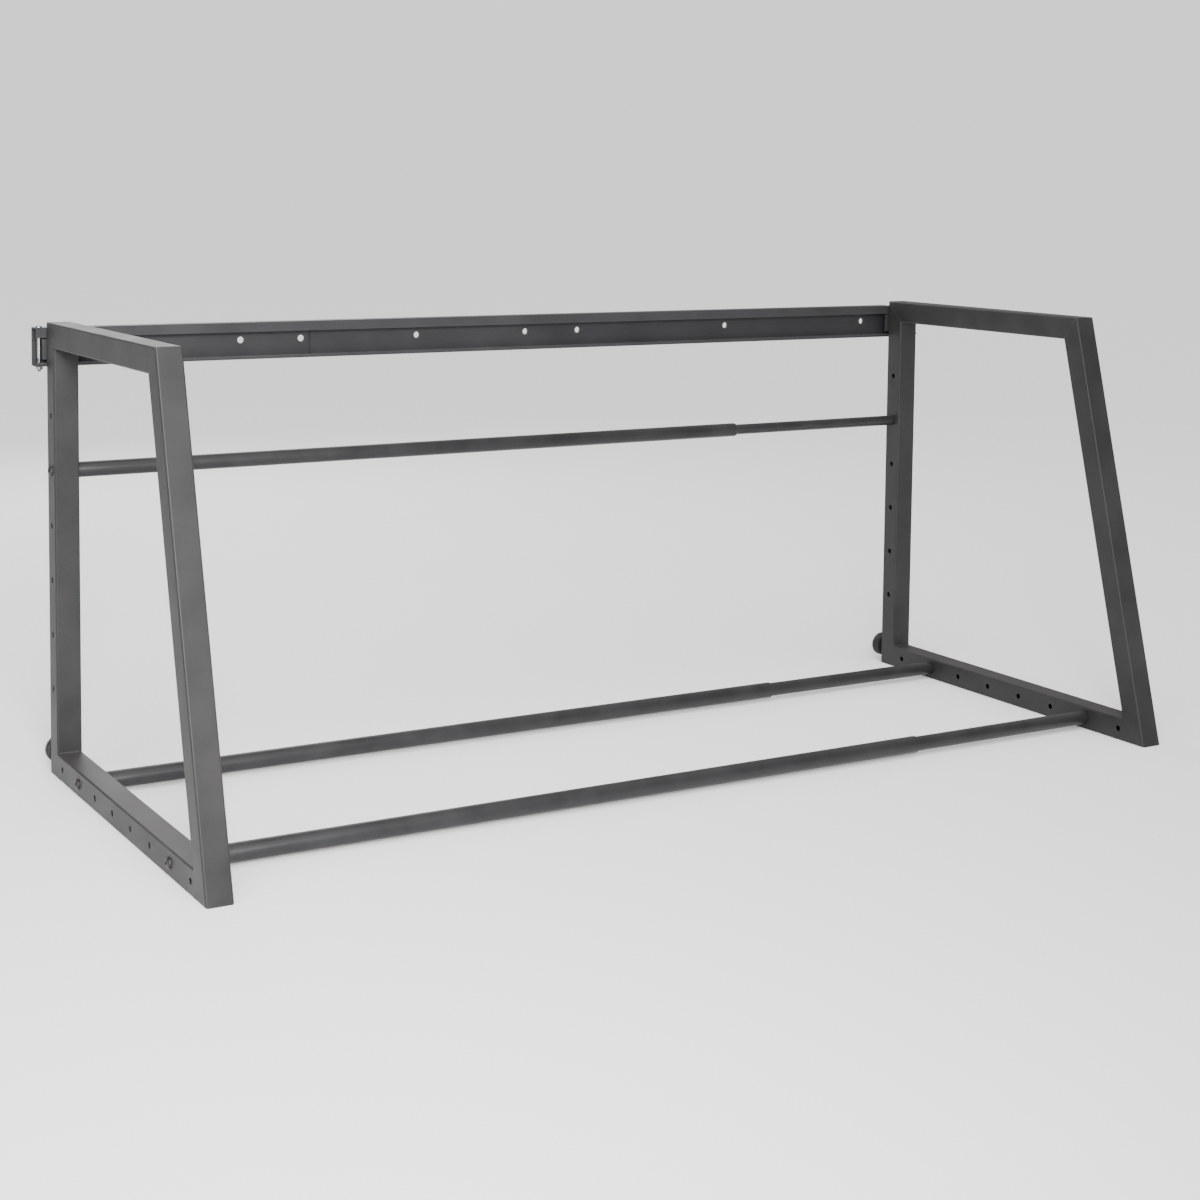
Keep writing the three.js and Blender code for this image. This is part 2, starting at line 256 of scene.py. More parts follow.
def powderCoat(name, look):
    # Satin epoxy-polyester powder on steel: a soft broad sheen with no mirror image, a fine sandy texture,
    # faint clouds where the coat is thicker, and paler lines at edges that are a painted edge highlight
    material = newMaterial(name)
    place = addNode(material, "ShaderNodeTexCoord")
    clouds = addNode(material, "ShaderNodeTexNoise", {"Vector": place.outputs["Object"]},
                     Scale=perMetre(look["cloudSize"]), Detail=3.0, Roughness=0.55)
    sand = addNode(material, "ShaderNodeTexNoise", {"Vector": place.outputs["Object"]},
                   Scale=perMetre(look["sandSize"]), Detail=2.0, Roughness=0.6)
    peel = addNode(material, "ShaderNodeTexNoise", {"Vector": place.outputs["Object"]},
                   Scale=perMetre(look["peelSize"]), Detail=1.0)
    tone = addNode(material, "ShaderNodeValToRGB", {"Fac": clouds.outputs["Fac"]})
    tone.color_ramp.elements[0].position = 0.32
    tone.color_ramp.elements[0].color = linear(look["shade"])
    tone.color_ramp.elements[1].position = 0.7
    tone.color_ramp.elements[1].color = linear(look["light"])
    flecks = addNode(material, "ShaderNodeMapRange", {"Value": sand.outputs["Fac"]},
                     From_Min=0.58, From_Max=0.74, To_Min=0.0, To_Max=look["fleckAmount"])
    speckled = addNode(material, "ShaderNodeMix", {0: flecks.outputs[0], 6: tone.outputs["Color"]},
                       data_type="RGBA")
    speckled.inputs[7].default_value = linear(look["fleck"])
    # paler edges in the edge colour: a painted edge highlight, strongest where the clouds are pale
    edges = edgeMask(material, look["edgeRadius"])
    edgeHighlightMask = addNode(material, "ShaderNodeMath", {0: edges.outputs[0], 1: clouds.outputs["Fac"]},
                   operation="MULTIPLY")
    edgeHighlightStrength = addNode(material, "ShaderNodeMath", {0: edgeHighlightMask.outputs[0]}, operation="MULTIPLY")
    edgeHighlightStrength.inputs[1].default_value = look["edgeHighlightAmount"]
    edgeHighlighted = addNode(material, "ShaderNodeMix", {0: edgeHighlightStrength.outputs[0], 6: speckled.outputs[2]},
                    data_type="RGBA")
    edgeHighlighted.inputs[7].default_value = linear(look["edge"])
    # upward faces paler: settled dust, and also painted top light where light falls on top faces
    surface = addNode(material, "ShaderNodeNewGeometry")
    facing = addNode(material, "ShaderNodeSeparateXYZ", {0: surface.outputs["Normal"]})
    upward = addNode(material, "ShaderNodeMapRange", {"Value": facing.outputs["Z"]},
                     From_Min=0.6, From_Max=1.0, To_Min=0.0, To_Max=look["dustAndTopLightAmount"])
    dustAndTopLightMask = addNode(material, "ShaderNodeMath", {0: upward.outputs[0], 1: clouds.outputs["Fac"]},
                      operation="MULTIPLY")
    dustAndTopLightMixed = addNode(material, "ShaderNodeMix", {0: dustAndTopLightMask.outputs[0], 6: edgeHighlighted.outputs[2]},
                     data_type="RGBA")
    dustAndTopLightMixed.inputs[7].default_value = linear(look["dustAndTopLight"])
    gloss = addNode(material, "ShaderNodeMapRange", {"Value": clouds.outputs["Fac"]},
                    From_Min=0.3, From_Max=0.7,
                    To_Min=look["roughness"] - 0.05, To_Max=look["roughness"] + 0.05)
    waves = addNode(material, "ShaderNodeBump", {"Height": peel.outputs["Fac"]},
                    Strength=look["peelStrength"], Distance=look["peelHeight"])
    grains = addNode(material, "ShaderNodeBump", {"Height": sand.outputs["Fac"], "Normal": waves.outputs[0]},
                     Strength=look["sandStrength"], Distance=look["sandHeight"])
    shader = addNode(material, "ShaderNodeBsdfPrincipled",
                     {"Base_Color": dustAndTopLightMixed.outputs[2], "Roughness": gloss.outputs[0],
                      "Normal": grains.outputs[0]}, IOR=1.52)
    shader.inputs["Specular IOR Level"].default_value = look["specular"]
    addNode(material, "ShaderNodeOutputMaterial", {"Surface": shader.outputs[0]})
    return material


# The real texture's grain is about 0.3 mm; it is drawn at 1.1 mm, the finest that shows
# The edge colour is a painted edge highlight along the tube's corners
# The pale colour laid on upward faces is dust and also painted top light
frameCoatLook = {
    "shade": "#202020", "light": "#2a2929", "fleck": "#424141", "edge": "#6c6b6c", "dustAndTopLight": "#8a8683",
    "cloudSize": 90 * mm, "sandSize": 1.1 * mm, "peelSize": 5 * mm, "edgeRadius": 0.9 * mm,
    "fleckAmount": 0.4, "edgeHighlightAmount": 0.5, "dustAndTopLightAmount": 0.12, "roughness": 0.48, "specular": 0.25,
    "peelStrength": 0.25, "peelHeight": 0.15 * mm, "sandStrength": 0.4, "sandHeight": 0.12 * mm,
}
tubeCoatLook = {
    **frameCoatLook, "shade": "#1e1e1f", "light": "#272728", "cloudSize": 60 * mm,
    "roughness": 0.4, "edgeRadius": 0.6 * mm, "dustAndTopLightAmount": 0.08,
}
railCoatLook = {
    **frameCoatLook, "shade": "#262628", "light": "#2f2f31", "cloudSize": 120 * mm,
    "edgeRadius": 0.8 * mm, "edgeHighlightAmount": 0.4,
}


zincLook = {
    "pale": "#bcc0c5", "grey": "#90949a", "blue": "#a9b4c6", "straw": "#c4bda3",
    "spangleSize": 3.5 * mm, "filmSize": 9 * mm, "scratchSize": 0.5 * mm, "roughness": 0.27,
}


def zincPlate(name, look):
    # Bright zinc plated and passivated steel: cool silver with small matt and bright grains,
    # and a thin film that turns it faintly blue and straw in patches
    material = newMaterial(name)
    place = addNode(material, "ShaderNodeTexCoord")
    grains = addNode(material, "ShaderNodeTexVoronoi", {"Vector": place.outputs["Object"]},
                     Scale=perMetre(look["spangleSize"]))
    tone = addNode(material, "ShaderNodeMix", {0: grains.outputs["Distance"]}, data_type="RGBA")
    tone.inputs[6].default_value = linear(look["pale"])
    tone.inputs[7].default_value = linear(look["grey"])
    film = addNode(material, "ShaderNodeTexNoise", {"Vector": place.outputs["Object"]},
                   Scale=perMetre(look["filmSize"]), Detail=2.0)
    tint = addNode(material, "ShaderNodeValToRGB", {"Fac": film.outputs["Fac"]})
    tint.color_ramp.elements[0].position = 0.35
    tint.color_ramp.elements[0].color = linear(look["blue"])
    tint.color_ramp.elements[1].position = 0.65
    tint.color_ramp.elements[1].color = linear(look["straw"])
    colour = addNode(material, "ShaderNodeMix", {6: tone.outputs[2], 7: tint.outputs["Color"]},
                     data_type="RGBA")
    colour.inputs[0].default_value = 0.3
    matt = addNode(material, "ShaderNodeMapRange", {"Value": grains.outputs["Distance"]},
                   To_Min=look["roughness"] - 0.05, To_Max=look["roughness"] + 0.14)
    scratch = addNode(material, "ShaderNodeTexNoise", {"Vector": place.outputs["Object"]},
                      Scale=perMetre(look["scratchSize"]), Detail=2.0)
    relief = addNode(material, "ShaderNodeBump", {"Height": scratch.outputs["Fac"]},
                     Strength=0.15, Distance=0.05 * mm)
    shader = addNode(material, "ShaderNodeBsdfPrincipled",
                     {"Base_Color": colour.outputs[2], "Roughness": matt.outputs[0],
                      "Normal": relief.outputs[0]}, Metallic=1.0)
    addNode(material, "ShaderNodeOutputMaterial", {"Surface": shader.outputs[0]})
    return material


blackOxideLook = {
    "deep": "#2a2827", "worn": "#484543", "bare": "#5c5a59",
    "patchSize": 6 * mm, "grainSize": 0.6 * mm, "edgeRadius": 0.5 * mm, "roughness": 0.36,
}


def blackOxide(name, look):
    # Black oxide on forged steel: an oily near-black metal that rubs back to grey at its edges
    material = newMaterial(name)
    place = addNode(material, "ShaderNodeTexCoord")
    patches = addNode(material, "ShaderNodeTexNoise", {"Vector": place.outputs["Object"]},
                      Scale=perMetre(look["patchSize"]), Detail=3.0)
    tone = addNode(material, "ShaderNodeMix", {0: patches.outputs["Fac"]}, data_type="RGBA")
    tone.inputs[6].default_value = linear(look["deep"])
    tone.inputs[7].default_value = linear(look["worn"])
    edges = edgeMask(material, look["edgeRadius"])
    rubbed = addNode(material, "ShaderNodeMath", {0: edges.outputs[0], 1: patches.outputs["Fac"]},
                     operation="MULTIPLY")
    colour = addNode(material, "ShaderNodeMix", {0: rubbed.outputs[0], 6: tone.outputs[2]},
                     data_type="RGBA")
    colour.inputs[7].default_value = linear(look["bare"])
    grain = addNode(material, "ShaderNodeTexNoise", {"Vector": place.outputs["Object"]},
                    Scale=perMetre(look["grainSize"]), Detail=2.0)
    relief = addNode(material, "ShaderNodeBump", {"Height": grain.outputs["Fac"]},
                     Strength=0.2, Distance=0.06 * mm)
    gloss = addNode(material, "ShaderNodeMapRange", {"Value": patches.outputs["Fac"]},
                    To_Min=look["roughness"] - 0.06, To_Max=look["roughness"] + 0.1)
    shader = addNode(material, "ShaderNodeBsdfPrincipled",
                     {"Base_Color": colour.outputs[2], "Roughness": gloss.outputs[0],
                      "Normal": relief.outputs[0]}, Metallic=0.7)
    addNode(material, "ShaderNodeOutputMaterial", {"Surface": shader.outputs[0]})
    return material


knobNylonLook = {
    "deep": "#121213", "pale": "#1d1d1e", "rubbed": "#4a4a4b",
    "cloudSize": 14 * mm, "sparkSize": 0.7 * mm, "edgeRadius": 0.5 * mm, "roughness": 0.52,
}
bushNylonLook = {**knobNylonLook, "deep": "#1a1a1b", "pale": "#242425", "roughness": 0.44}


def mouldedNylon(name, look):
    # Glass-filled nylon from a spark-eroded mould: dead black, slightly greasy, with a fine even
    # pitting that greys where fingers rub it
    material = newMaterial(name)
    place = addNode(material, "ShaderNodeTexCoord")
    clouds = addNode(material, "ShaderNodeTexNoise", {"Vector": place.outputs["Object"]},
                     Scale=perMetre(look["cloudSize"]), Detail=3.0)
    tone = addNode(material, "ShaderNodeMix", {0: clouds.outputs["Fac"]}, data_type="RGBA")
    tone.inputs[6].default_value = linear(look["deep"])
    tone.inputs[7].default_value = linear(look["pale"])
    edges = edgeMask(material, look["edgeRadius"])
    rubbed = addNode(material, "ShaderNodeMath", {0: edges.outputs[0], 1: clouds.outputs["Fac"]},
                     operation="MULTIPLY")
    colour = addNode(material, "ShaderNodeMix", {0: rubbed.outputs[0], 6: tone.outputs[2]},
                     data_type="RGBA")
    colour.inputs[7].default_value = linear(look["rubbed"])
    pits = addNode(material, "ShaderNodeTexNoise", {"Vector": place.outputs["Object"]},
                   Scale=perMetre(look["sparkSize"]), Detail=3.0)
    relief = addNode(material, "ShaderNodeBump", {"Height": pits.outputs["Fac"]},
                     Strength=0.35, Distance=0.08 * mm)
    gloss = addNode(material, "ShaderNodeMapRange", {"Value": clouds.outputs["Fac"]},
                    To_Min=look["roughness"] - 0.07, To_Max=look["roughness"] + 0.09)
    shader = addNode(material, "ShaderNodeBsdfPrincipled",
                     {"Base_Color": colour.outputs[2], "Roughness": gloss.outputs[0],
                      "Normal": relief.outputs[0]}, IOR=1.53)
    addNode(material, "ShaderNodeOutputMaterial", {"Surface": shader.outputs[0]})
    return material


materials["frame_coat"] = powderCoat("graphitePowderCoatOnSquareTube", frameCoatLook)
materials["tube_coat"] = powderCoat("graphitePowderCoatOnRoundTube", tubeCoatLook)
materials["rail_coat"] = powderCoat("graphitePowderCoatOnRolledChannel", railCoatLook)
materials["zinc_plate"] = zincPlate("brightZincPlatedSteel", zincLook)
materials["black_oxide"] = blackOxide("blackOxideForgedSteel", blackOxideLook)
materials["knob_nylon"] = mouldedNylon("glassFilledNylonKnob", knobNylonLook)
materials["bush_nylon"] = mouldedNylon("glassFilledNylonBush", bushNylonLook)
slotOf = {part["node"]: part["material_slot"] for part in frame["record"]["subparts"]}
for nodeName, node in frame["nodes"].items():
    node.data.materials.clear()
    node.data.materials.append(materials[slotOf[nodeName]])
print("finishes made:", len(materials))


# End frames of square tube

frameShape = {
    "tube": 40 * mm, "wall": 1.5 * mm, "corner": 3 * mm, "cornerSteps": 4, "mitreGap": 0.2 * mm,
    "hole": 5 * mm, "holeEdge": 0.45 * mm, "footHole": 6.6 * mm, "footHeight": 32 * mm,
    "uprightFirst": 142 * mm, "uprightPitch": 88 * mm, "uprightCount": 6,
    "bottomFirst": 66 * mm, "bottomPitch": 86 * mm, "bottomCount": 8,
}


def frameOutline(side):
    # outer corners as (y, z), in order: top of the upright, top front, bottom front, bottom rear
    low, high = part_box(f"{side}_upright")
    gap = frameShape["mitreGap"]
    wall = high.y
    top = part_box(f"{side}_top_bar")[1].z
    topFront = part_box(f"{side}_top_bar")[0].y - gap
    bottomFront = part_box(f"{side}_bottom_bar")[0].y - gap
    return low.x, [Vector((wall, top)), Vector((topFront, top)),
                   Vector((bottomFront, 0)), Vector((wall, 0))]


def inwardOf(direction):
    return Vector((-direction.y, direction.x))


def innerCorners(outer):
    # one tube's width in from each pair of neighbouring outer lines
    found = []
    for i, corner in enumerate(outer):
        before = (corner - outer[i - 1]).normalized()
        after = (outer[(i + 1) % 4] - corner).normalized()
        a = corner + inwardOf(before) * frameShape["tube"]
        b = corner + inwardOf(after) * frameShape["tube"]
        cross = before.x * after.y - before.y * after.x
        gap = b - a
        found.append(a + before * ((gap.x * after.y - gap.y * after.x) / cross))
    return found


def cutAtMitre(piece, outerCorner, innerCorner, keep):
    # cuts the tube off square across the mitre, and closes its wall's two loops there
    across = innerCorner - outerCorner
    normal = Vector((0, -across.y, across.x)).normalized()
    point = Vector((0, outerCorner.x, outerCorner.y))
    if normal.dot(keep - point) > 0:
        normal = -normal
    pick(piece, "FACE", lambda face: True)
    bpy.ops.mesh.bisect(plane_co=point, plane_no=normal, clear_outer=True, use_fill=False)
    bpy.ops.mesh.bridge_edge_loops()
    objectMode()


def frameBar(name, x, outer, inner, i):
    shape = frameShape
    start, end = outer[i], outer[(i + 1) % 4]
    direction = (end - start).normalized()
    centre = (start + end) / 2 + inwardOf(direction) * shape["tube"] / 2
    along = Vector((0, direction.x, direction.y))
    middle = Vector((x + shape["tube"] / 2, centre.x, centre.y))
    length = (end - start).length + 2 * shape["tube"]
    bpy.ops.object.select_all(action="DESELECT")
    bpy.ops.mesh.primitive_cube_add(size=1, location=middle, scale=(shape["tube"], shape["tube"], length),
                                    rotation=(math.atan2(-direction.x, direction.y), 0, 0))
    bar = named(name)
    pick(bar, "EDGE", lambda edge: abs((edge.verts[0].co - edge.verts[1].co).normalized().dot(along)) > 0.9)
    bpy.ops.mesh.bevel(offset=shape["corner"], segments=shape["cornerSteps"], affect="EDGES")
    objectMode()
    pick(bar, "FACE", lambda face: abs(face.normal.dot(along)) > 0.9)
    bpy.ops.mesh.delete(type="ONLY_FACE")
    objectMode()
    modify(bar, "SOLIDIFY", thickness=shape["wall"], offset=-1, use_even_offset=True)
    cutAtMitre(bar, outer[i], inner[i], middle)
    cutAtMitre(bar, outer[(i + 1) % 4], inner[(i + 1) % 4], middle)
    return bar


def endFrames():
    shape = frameShape
    x, outer = frameOutline("left")
    inner = innerCorners(outer)
    names = ["top_bar", "front_leg", "bottom_bar", "upright"]
    bars = {name: frameBar(f"left_{name}_tube", x, outer, inner, i) for i, name in enumerate(names)}
    half = shape["tube"] / 2
    middleX = x + half
    wall = outer[0].x
    heights = [shape["uprightFirst"] + k * shape["uprightPitch"] for k in range(shape["uprightCount"])]
    depths = [shape["bottomFirst"] + k * shape["bottomPitch"] for k in range(shape["bottomCount"])]
    rows = {
        "upright": [Vector((middleX, wall - half, height)) for height in heights],
        "bottom_bar": [Vector((middleX, wall - depth, half)) for depth in depths],
    }

    def onSkin(co):
        return abs(abs(co.x - middleX) - half) < 0.02 * mm
    for name, places in rows.items():
        holes = [(place, axisX, shape["hole"], 2 * shape["tube"]) for place in places]
        carve(bars[name], drills(holes))
        breakHoleEdges(bars[name], holes, onSkin, shape["holeEdge"])
    footHole = [(Vector((middleX, wall, shape["footHeight"])), axisY, shape["footHole"], 6 * shape["wall"])]
    carve(bars["upright"], drills(footHole))
    for name, bar in bars.items():
        shaded(bar, flatFaces=True)
        twin = copied(bar, f"right_{name}_tube", f"left_{name}", f"right_{name}")
        shown(bar, "left_half", "frame_coat", [f"left_{name}"])
        shown(twin, "right_half", "frame_coat", [f"right_{name}"])
    return x, inner


# Fillet welds across the inside of each corner, under the same coat
weldBead = {"thick": 5.2 * mm, "pitch": 2.1 * mm, "inset": 3.5 * mm, "skin": 0.55 * mm}


def weldBeads(x, inner):
    bead = weldBead
    run = frameShape["tube"] - 2 * bead["inset"]
    count = int(run / bead["pitch"])
    beads = []
    for corner in inner:
        bpy.ops.object.select_all(action="DESELECT")
        bpy.ops.mesh.primitive_uv_sphere_add(
            segments=16, ring_count=10, radius=bead["thick"] / 2,
            location=(x + bead["inset"] + bead["pitch"] / 2, corner.x, corner.y))
        ripple = named("ripple")
        pick(ripple, "VERT", lambda vert: vert.co.x > x + bead["inset"] + bead["pitch"])
        bpy.ops.transform.translate(value=(bead["pitch"] / 3, 0, 0))
        objectMode()
        modify(ripple, "ARRAY", count=count, use_relative_offset=False, use_constant_offset=True,
               constant_offset_displace=(bead["pitch"], 0, 0))
        modify(ripple, "REMESH", mode="VOXEL", voxel_size=bead["skin"])
        modify(ripple, "SMOOTH", iterations=2, factor=0.5)
        beads.append(ripple)
    welds = joined("left_frame_welds", beads)
    shaded(welds, smoothAngle=60)
    twin = copied(welds, "right_frame_welds", "left_upright", "right_upright")
    shown(welds, "left_half", "frame_coat", [])
    shown(twin, "right_half", "frame_coat", [])


frameX, frameInner = endFrames()
weldBeads(frameX, frameInner)
print("end frames made")


# Telescoping wall rail of rolled channel
railShape = {
    "sheet": 2 * mm, "bend": 3 * mm, "bendSteps": 4, "topLip": 16 * mm, "bottomLip": 6 * mm,
    "height": 62 * mm, "bottom": 659 * mm, "edge": 0.35 * mm,
    "wallHole": 5.5 * mm, "holeFirst": 335.4 * mm, "holePitch": 108.4 * mm,
    "holeSteps": [0, 1, 3, 5, 6, 9, 12],
    "screwHole": 6.3 * mm, "screwSpread": 9 * mm, "screwHeight": 686.5 * mm, "boltHole": 3.3 * mm,
}


def railHoles(low, high, side):
    shape = railShape
    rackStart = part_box("left_upright")[0].x
    wallHeight = shape["bottom"] + shape["height"] / 2
    holes = []
    for step in shape["holeSteps"]:
        x = rackStart + shape["holeFirst"] + step * shape["holePitch"]
        if low.x < x < high.x:
            holes.append((Vector((x, high.y, wallHeight)), axisY, shape["wallHole"], 6 * shape["sheet"]))
    boxLow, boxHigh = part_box(f"{side}_upright")
    bracketX = (boxLow.x + boxHigh.x) / 2
    for sign in (-1, 1):
        height = shape["screwHeight"] + sign * shape["screwSpread"]
        holes.append((Vector((bracketX, high.y, height)), axisY, shape["screwHole"], 6 * shape["sheet"]))
    return holes


def channel(node, side, boltHoles):
    shape = railShape
    low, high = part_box(node)
    lipTop = shape["bottom"] + shape["height"] - shape["topLip"]
    lipBottom = shape["bottom"] + shape["bottomLip"]
    depth = high.y - low.y
    bpy.ops.object.select_all(action="DESELECT")
    bpy.ops.mesh.primitive_plane_add(size=1, rotation=(quarterTurn, 0, 0),
                                     location=((low.x + high.x) / 2, high.y, (low.z + high.z) / 2))
    rail = bpy.context.object
    rail.scale = (high.x - low.x, high.z - low.z, 1)
    rail = named(f"{node}_channel")
    middle = (low.z + high.z) / 2
    for sign, lip in ((1, lipTop - high.z), (-1, lipBottom - low.z)):
        pick(rail, "EDGE", lambda edge: all(sign * (v.co.z - middle) > 0 for v in edge.verts))
        bpy.ops.mesh.extrude_edges_move(TRANSFORM_OT_translate={"value": (0, -depth, 0)})
        bpy.ops.mesh.extrude_edges_move(TRANSFORM_OT_translate={"value": (0, 0, lip)})
        objectMode()
    pick(rail, "EDGE", lambda edge: len(edge.link_faces) == 2)
    bpy.ops.mesh.bevel(offset=shape["bend"], segments=shape["bendSteps"], affect="EDGES")
    bpy.ops.mesh.select_all(action="SELECT")
    bpy.ops.mesh.normals_make_consistent(inside=False)
    objectMode()
    modify(rail, "SOLIDIFY", thickness=shape["sheet"], offset=-1, use_even_offset=True)
    holes = railHoles(low, high, side)
    carve(rail, drills(holes + boltHoles))

    def onWeb(co):
        return min(abs(co.y - high.y), abs(co.y - high.y + shape["sheet"])) < 0.02 * mm
    breakHoleEdges(rail, holes, onWeb, shape["edge"])
    return rail


stopBolt = {
    "shank": 3 * mm, "head": 5.5 * mm, "headHeight": 3.5 * mm, "gap": 0.3 * mm, "thread": 22 * mm,
    "pitch": 1 * mm, "root": 2.4 * mm, "socket": 2 * mm, "socketDepth": 2 * mm,
}
boltMiddle = boxMiddle("rail_stop_bolt")
boltHole = (boltMiddle, axisZ, railShape["boltHole"], 2 * railShape["height"])
outerRail = channel("outer_rail", "left", [boltHole])
shaded(outerRail, flatFaces=True)
shown(outerRail, "left_half", "rail_coat", ["outer_rail"])
innerRail = channel("inner_rail", "right", [])
shaded(innerRail, flatFaces=True)
shown(innerRail, "right_half", "rail_coat", ["inner_rail"])
print("rails made")


# Round telescoping tubes
tubeShape = {"wall": 1.5 * mm, "sides": 64, "edge": 0.5 * mm}


def roundTube(node):
    shape = tubeShape
    low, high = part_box(node)
    centre = (low + high) / 2
    radius = (high.z - low.z) / 2
    bpy.ops.object.select_all(action="DESELECT")
    bpy.ops.mesh.primitive_cylinder_add(vertices=shape["sides"], radius=radius, depth=high.x - low.x,
                                        location=centre, rotation=(0, quarterTurn, 0))
    tube = named(f"{node}_drawn")
    pick(tube, "FACE", lambda face: abs(face.normal.x) > 0.9)
    bpy.ops.mesh.inset(thickness=shape["wall"])
    bpy.ops.mesh.delete(type="ONLY_FACE")
    objectMode()
    pick(tube, "EDGE", lambda edge: len(edge.link_faces) == 1)
    bpy.ops.mesh.bridge_edge_loops()
    objectMode()

    def onRim(edge):
        return all(min(abs(v.co.x - low.x), abs(v.co.x - high.x)) < 0.01 * mm for v in edge.verts) and all(
            abs(math.hypot(v.co.y - centre.y, v.co.z - centre.z) - radius) < 0.01 * mm for v in edge.verts)
    pick(tube, "EDGE", onRim)
    bpy.ops.mesh.bevel(offset=shape["edge"], segments=3, affect="EDGES")
    bpy.ops.mesh.select_all(action="SELECT")
    bpy.ops.mesh.normals_make_consistent(inside=False)
    objectMode()
    shaded(tube)
    return tube


for tubeKind, body in (("outer_tube", "left_half"), ("inner_tube", "right_half")):
    upperTube = roundTube(f"upper_rear_{tubeKind}")
    rearTube = roundTube(f"lower_rear_{tubeKind}")
    rearNode, frontNode = f"lower_rear_{tubeKind}", f"lower_front_{tubeKind}"
    frontTube = copied(rearTube, f"{frontNode}_drawn", rearNode, frontNode)
    shown(upperTube, body, "tube_coat", [f"upper_rear_{tubeKind}"])
    shown(rearTube, body, "tube_coat", [rearNode])
    shown(frontTube, body, "tube_coat", [frontNode])
print("tubes made")


# Bush in the mouth of the upper outer tube
bushShape = {"collar": 12.5 * mm, "sleeve": 10.6 * mm, "bore": 9.8 * mm, "nose": 10.4 * mm,
             "noseLength": 4 * mm, "round": 0.8 * mm, "gap": 0.3 * mm}


def guideBush():
    shape = bushShape
    low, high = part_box("upper_guide_bush")
    centre = (low + high) / 2
    length = high.x - low.x
    mouth = length - shape["noseLength"]
    slope = [(shape["collar"] - shape["round"], mouth + 0.2 * mm), (shape["collar"], mouth + shape["round"])]
    profile = [
        (shape["bore"], 0), (shape["sleeve"] - 0.3 * mm, 0), (shape["sleeve"], 0.6 * mm),
        (shape["sleeve"], mouth + shape["gap"] / 2), *slope,
        (shape["nose"] + 0.5 * mm, length - 0.3 * mm), (shape["nose"], length),
        (shape["bore"] + 0.3 * mm, length), (shape["bore"], length - 0.4 * mm), (shape["bore"], 0),
    ]
    start = Vector((low.x, centre.y, centre.z))
    bush = turned("upper_guide_bush_moulded", profile, start, axisX, 64)
    shaded(bush)
    shown(bush, "left_half", "bush_nylon", ["upper_guide_bush"])


guideBush()


# Button-head bolts through the frames, and the plugs that they screw into
buttonBolt = {
    "shank": 4 * mm, "root": 3.4 * mm, "pitch": 1.25 * mm, "thread": 30 * mm, "reach": 65 * mm,
    "head": 8.5 * mm, "headHeight": 4.5 * mm, "gap": 0.3 * mm, "domeSteps": 8,
    "socket": 2.9 * mm, "socketDepth": 2.6 * mm,
}


def threadProfile(root, crest, pitch, start, length):
    # V-shaped rings: the lead is too fine to show, so each turn closes on itself
    points = []
    for turn in range(int(length / pitch)):
        points.append((root, start + turn * pitch))
        points.append((crest, start + (turn + 0.5) * pitch))
    return points


def domeProfile(radius, height, base, steps, rim=0.6 * mm):
    # a short upright rim, then a low dome up to the axis
    points = [(radius - 0.2 * mm, base), (radius, base + 0.2 * mm), (radius, base + rim)]
    for step in range(1, steps + 1):
        angle = step / steps * quarterTurn
        points.append((radius * math.cos(angle), base + rim + (height - rim) * math.sin(angle)))
    return points


def hexCutter(halfFlats, depth, centre, axis):
    bpy.ops.object.select_all(action="DESELECT")
    bpy.ops.mesh.primitive_cylinder_add(vertices=6, radius=halfFlats / math.cos(math.pi / 6), depth=depth,
                                        location=centre, rotation=axisZ.rotation_difference(axis).to_euler())
    return named("cutter")


def tubeBolts():
    # the first is modelled at the left end of the upper tube; the right ones are turned round
    bolt = buttonBolt
    first = "upper_rear_left_bolt"
    centre = boxMiddle(first)
    seat = Vector((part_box("left_upright")[0].x, centre.y, centre.z))
    profile = [(0, -bolt["reach"])]
    profile += threadProfile(bolt["root"], bolt["shank"], bolt["pitch"], -bolt["reach"], bolt["thread"])
    threadEnd = bolt["thread"] - bolt["reach"] + bolt["pitch"]
    profile += [(bolt["shank"], threadEnd), (bolt["shank"], bolt["gap"])]
    profile += domeProfile(bolt["head"], bolt["headHeight"], bolt["gap"], bolt["domeSteps"])
    piece = turned(f"{first}_forged", profile, seat, -axisX)
    top = seat - axisX * (bolt["gap"] + bolt["headHeight"])
    carve(piece, hexCutter(bolt["socket"], 2 * bolt["socketDepth"], top, axisX))
    shaded(piece)
    for side in sides:
        for bar in crossbarNames:
            node = f"{bar}_{side}_bolt"
            turn = 0 if side == "left" else math.pi
            part = piece if node == first else copied(piece, f"{node}_forged", first, node, turn)
            shown(part, f"{side}_half", "black_oxide", [node])


plugShape = {"bore": 4.4 * mm, "crest": 4.1 * mm, "pitch": 1.25 * mm, "chamfer": 1 * mm}


def tubePlug(name, side):
    shape = plugShape
    node = f"{name}_{side}_plug"
    low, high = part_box(node)
    centre = (low + high) / 2
    radius = (high.z - low.z) / 2
    length = high.x - low.x
    outside = [(shape["bore"], 0), (radius - shape["chamfer"], 0), (radius, shape["chamfer"]),
               (radius, length - shape["chamfer"]), (radius - shape["chamfer"], length),
               (shape["bore"], length)]
    pitch = shape["pitch"]
    thread = threadProfile(shape["bore"], shape["crest"], pitch, pitch, length - 2 * pitch)
    profile = outside + thread[::-1] + [(shape["bore"], 0)]
    piece = turned(f"{node}_turned", profile, Vector((low.x, centre.y, centre.z)), axisX, 32)
    shaded(piece)
    return piece


